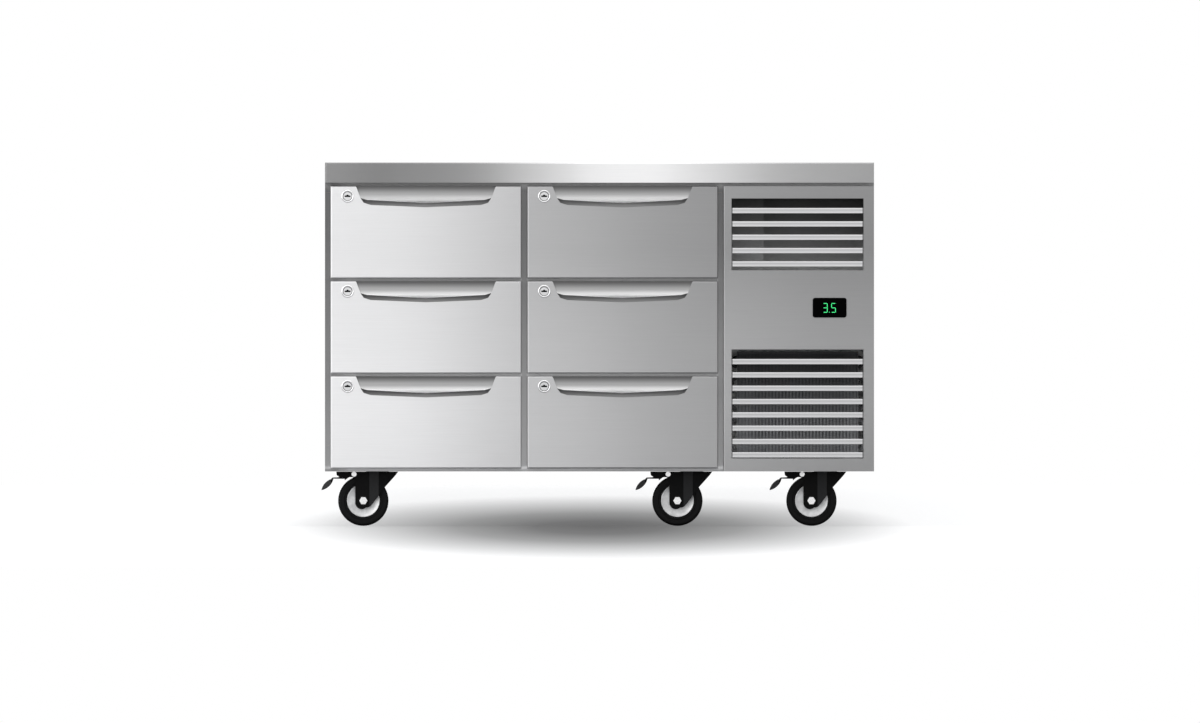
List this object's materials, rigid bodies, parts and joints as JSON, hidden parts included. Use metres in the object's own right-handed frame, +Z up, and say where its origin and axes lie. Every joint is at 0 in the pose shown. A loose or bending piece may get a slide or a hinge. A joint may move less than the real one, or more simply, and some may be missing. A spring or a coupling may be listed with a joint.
{
  "type": "undercounter drawer refrigerator",
  "caption": "Stainless undercounter refrigerator on castors: two columns of pull-out insulated drawers with recessed pulls and locks beside a louvred machine bay with a display.",
  "frame": {"origin": "on the floor under the middle of the body", "axes": "+X to the right seen from the front, -Y towards the front, +Z up"},
  "size_m": [1.3691, 0.7086, 0.9],
  "materials": {
    "stainless": "satin brushed",
    "foam": "rigid foam",
    "display_black": "glossy black",
    "zinc_steel": "zinc plated",
    "black_enamel": "black enamel",
    "condenser_black": "black lacquer on fins",
    "coil_aluminium": "plain aluminium fins",
    "fan_plastic": "black plastic",
    "gasket_rubber": "soft grey",
    "lock_chrome": "polished",
    "castor_black": "black powder coat",
    "tyre_black": "black rubber"
  },
  "bodies": {
    "cabinet": {"cabinet_shell": "stainless", "inner_liner": "stainless", "insulation": "foam", "worktop": "stainless", "front_frame": "stainless", "fascia_panel": "stainless", "louvres": "stainless", "display_module": "display_black", "slide_rack": "stainless", "castor_plates": "zinc_steel", "compressor": "black_enamel", "condenser": "condenser_black", "evaporator": "coil_aluminium"},
    "drawer_1": {"drawer_1_front": "stainless", "drawer_1_gasket": "gasket_rubber", "drawer_1_box": "stainless"},
    "slides_1": {"drawer_1_slides": "zinc_steel"},
    "lock_1": {"drawer_1_lock": "lock_chrome"},
    "drawer_2": {"drawer_2_front": "stainless", "drawer_2_gasket": "gasket_rubber", "drawer_2_box": "stainless"},
    "slides_2": {"drawer_2_slides": "zinc_steel"},
    "lock_2": {"drawer_2_lock": "lock_chrome"},
    "drawer_3": {"drawer_3_front": "stainless", "drawer_3_gasket": "gasket_rubber", "drawer_3_box": "stainless"},
    "slides_3": {"drawer_3_slides": "zinc_steel"},
    "lock_3": {"drawer_3_lock": "lock_chrome"},
    "drawer_4": {"drawer_4_front": "stainless", "drawer_4_gasket": "gasket_rubber", "drawer_4_box": "stainless"},
    "slides_4": {"drawer_4_slides": "zinc_steel"},
    "lock_4": {"drawer_4_lock": "lock_chrome"},
    "drawer_5": {"drawer_5_front": "stainless", "drawer_5_gasket": "gasket_rubber", "drawer_5_box": "stainless"},
    "slides_5": {"drawer_5_slides": "zinc_steel"},
    "lock_5": {"drawer_5_lock": "lock_chrome"},
    "drawer_6": {"drawer_6_front": "stainless", "drawer_6_gasket": "gasket_rubber", "drawer_6_box": "stainless"},
    "slides_6": {"drawer_6_slides": "zinc_steel"},
    "lock_6": {"drawer_6_lock": "lock_chrome"},
    "castor_1": {"castor_1_fork": "castor_black"},
    "wheel_1": {"castor_1_wheel": "tyre_black"},
    "brake_1": {"castor_1_brake": "castor_black"},
    "castor_2": {"castor_2_fork": "castor_black"},
    "wheel_2": {"castor_2_wheel": "tyre_black"},
    "brake_2": {"castor_2_brake": "castor_black"},
    "castor_3": {"castor_3_fork": "castor_black"},
    "wheel_3": {"castor_3_wheel": "tyre_black"},
    "brake_3": {"castor_3_brake": "castor_black"},
    "castor_4": {"castor_4_fork": "castor_black"},
    "wheel_4": {"castor_4_wheel": "tyre_black"},
    "castor_5": {"castor_5_fork": "castor_black"},
    "wheel_5": {"castor_5_wheel": "tyre_black"},
    "castor_6": {"castor_6_fork": "castor_black"},
    "wheel_6": {"castor_6_wheel": "tyre_black"},
    "condenser_rotor": {"condenser_fan": "fan_plastic"},
    "evaporator_rotor": {"evaporator_fan": "fan_plastic"}
  },
  "joints": [
    {"name": "drawer_1_pull", "type": "slide", "parent": "cabinet", "child": "drawer_1", "axis": [0, -1, 0], "range_m": [0, 0.53]},
    {"name": "slides_1_travel", "type": "slide", "parent": "cabinet", "child": "slides_1", "axis": [0, -1, 0], "range_m": [0, 0.265]},
    {"name": "lock_1_turn", "type": "hinge", "parent": "drawer_1", "child": "lock_1", "pos_m": [-0.624, -0.346, 0.8165], "axis": [0, -1, 0], "range_deg": [0, 90]},
    {"name": "drawer_2_pull", "type": "slide", "parent": "cabinet", "child": "drawer_2", "axis": [0, -1, 0], "range_m": [0, 0.53]},
    {"name": "slides_2_travel", "type": "slide", "parent": "cabinet", "child": "slides_2", "axis": [0, -1, 0], "range_m": [0, 0.265]},
    {"name": "lock_2_turn", "type": "hinge", "parent": "drawer_2", "child": "lock_2", "pos_m": [-0.624, -0.346, 0.581], "axis": [0, -1, 0], "range_deg": [0, 90]},
    {"name": "drawer_3_pull", "type": "slide", "parent": "cabinet", "child": "drawer_3", "axis": [0, -1, 0], "range_m": [0, 0.53]},
    {"name": "slides_3_travel", "type": "slide", "parent": "cabinet", "child": "slides_3", "axis": [0, -1, 0], "range_m": [0, 0.265]},
    {"name": "lock_3_turn", "type": "hinge", "parent": "drawer_3", "child": "lock_3", "pos_m": [-0.624, -0.346, 0.3455], "axis": [0, -1, 0], "range_deg": [0, 90]},
    {"name": "drawer_4_pull", "type": "slide", "parent": "cabinet", "child": "drawer_4", "axis": [0, -1, 0], "range_m": [0, 0.53]},
    {"name": "slides_4_travel", "type": "slide", "parent": "cabinet", "child": "slides_4", "axis": [0, -1, 0], "range_m": [0, 0.265]},
    {"name": "lock_4_turn", "type": "hinge", "parent": "drawer_4", "child": "lock_4", "pos_m": [-0.137, -0.346, 0.8165], "axis": [0, -1, 0], "range_deg": [0, 90]},
    {"name": "drawer_5_pull", "type": "slide", "parent": "cabinet", "child": "drawer_5", "axis": [0, -1, 0], "range_m": [0, 0.53]},
    {"name": "slides_5_travel", "type": "slide", "parent": "cabinet", "child": "slides_5", "axis": [0, -1, 0], "range_m": [0, 0.265]},
    {"name": "lock_5_turn", "type": "hinge", "parent": "drawer_5", "child": "lock_5", "pos_m": [-0.137, -0.346, 0.581], "axis": [0, -1, 0], "range_deg": [0, 90]},
    {"name": "drawer_6_pull", "type": "slide", "parent": "cabinet", "child": "drawer_6", "axis": [0, -1, 0], "range_m": [0, 0.53]},
    {"name": "slides_6_travel", "type": "slide", "parent": "cabinet", "child": "slides_6", "axis": [0, -1, 0], "range_m": [0, 0.265]},
    {"name": "lock_6_turn", "type": "hinge", "parent": "drawer_6", "child": "lock_6", "pos_m": [-0.137, -0.346, 0.3455], "axis": [0, -1, 0], "range_deg": [0, 90]},
    {"name": "castor_1_swivel", "type": "hinge", "parent": "cabinet", "child": "castor_1", "pos_m": [-0.55, -0.235, 0.14], "axis": [0, 0, 1], "continuous": true},
    {"name": "wheel_1_roll", "type": "hinge", "parent": "castor_1", "child": "wheel_1", "pos_m": [-0.585, -0.235, 0.0625], "axis": [0, 1, 0], "continuous": true},
    {"name": "brake_1_press", "type": "hinge", "parent": "castor_1", "child": "brake_1", "pos_m": [-0.608, -0.235, 0.1282], "axis": [0, -1, 0], "range_deg": [0, 10]},
    {"name": "castor_2_swivel", "type": "hinge", "parent": "cabinet", "child": "castor_2", "pos_m": [0.228, -0.235, 0.14], "axis": [0, 0, 1], "continuous": true},
    {"name": "wheel_2_roll", "type": "hinge", "parent": "castor_2", "child": "wheel_2", "pos_m": [0.193, -0.235, 0.0625], "axis": [0, 1, 0], "continuous": true},
    {"name": "brake_2_press", "type": "hinge", "parent": "castor_2", "child": "brake_2", "pos_m": [0.17, -0.235, 0.1282], "axis": [0, -1, 0], "range_deg": [0, 10]},
    {"name": "castor_3_swivel", "type": "hinge", "parent": "cabinet", "child": "castor_3", "pos_m": [0.56, -0.235, 0.14], "axis": [0, 0, 1], "continuous": true},
    {"name": "wheel_3_roll", "type": "hinge", "parent": "castor_3", "child": "wheel_3", "pos_m": [0.525, -0.235, 0.0625], "axis": [0, 1, 0], "continuous": true},
    {"name": "brake_3_press", "type": "hinge", "parent": "castor_3", "child": "brake_3", "pos_m": [0.502, -0.235, 0.1282], "axis": [0, -1, 0], "range_deg": [0, 10]},
    {"name": "castor_4_swivel", "type": "hinge", "parent": "cabinet", "child": "castor_4", "pos_m": [-0.55, 0.265, 0.14], "axis": [0, 0, 1], "continuous": true},
    {"name": "wheel_4_roll", "type": "hinge", "parent": "castor_4", "child": "wheel_4", "pos_m": [-0.585, 0.265, 0.0625], "axis": [0, 1, 0], "continuous": true},
    {"name": "castor_5_swivel", "type": "hinge", "parent": "cabinet", "child": "castor_5", "pos_m": [0.228, 0.265, 0.14], "axis": [0, 0, 1], "continuous": true},
    {"name": "wheel_5_roll", "type": "hinge", "parent": "castor_5", "child": "wheel_5", "pos_m": [0.193, 0.265, 0.0625], "axis": [0, 1, 0], "continuous": true},
    {"name": "castor_6_swivel", "type": "hinge", "parent": "cabinet", "child": "castor_6", "pos_m": [0.56, 0.265, 0.14], "axis": [0, 0, 1], "continuous": true},
    {"name": "wheel_6_roll", "type": "hinge", "parent": "castor_6", "child": "wheel_6", "pos_m": [0.525, 0.265, 0.0625], "axis": [0, 1, 0], "continuous": true},
    {"name": "condenser_fan_spin", "type": "hinge", "parent": "cabinet", "child": "condenser_rotor", "pos_m": [0.4905, -0.193, 0.302], "axis": [0, -1, 0], "continuous": true},
    {"name": "evaporator_fan_spin", "type": "hinge", "parent": "cabinet", "child": "evaporator_rotor", "pos_m": [0.296, 0.158, 0.62275], "axis": [-1, 0, 0], "continuous": true}
  ],
  "couplings": [
    {"joint": "slides_1_travel", "follows": "drawer_1_pull", "ratio": 0.5},
    {"joint": "slides_2_travel", "follows": "drawer_2_pull", "ratio": 0.5},
    {"joint": "slides_3_travel", "follows": "drawer_3_pull", "ratio": 0.5},
    {"joint": "slides_4_travel", "follows": "drawer_4_pull", "ratio": 0.5},
    {"joint": "slides_5_travel", "follows": "drawer_5_pull", "ratio": 0.5},
    {"joint": "slides_6_travel", "follows": "drawer_6_pull", "ratio": 0.5}
  ]
}
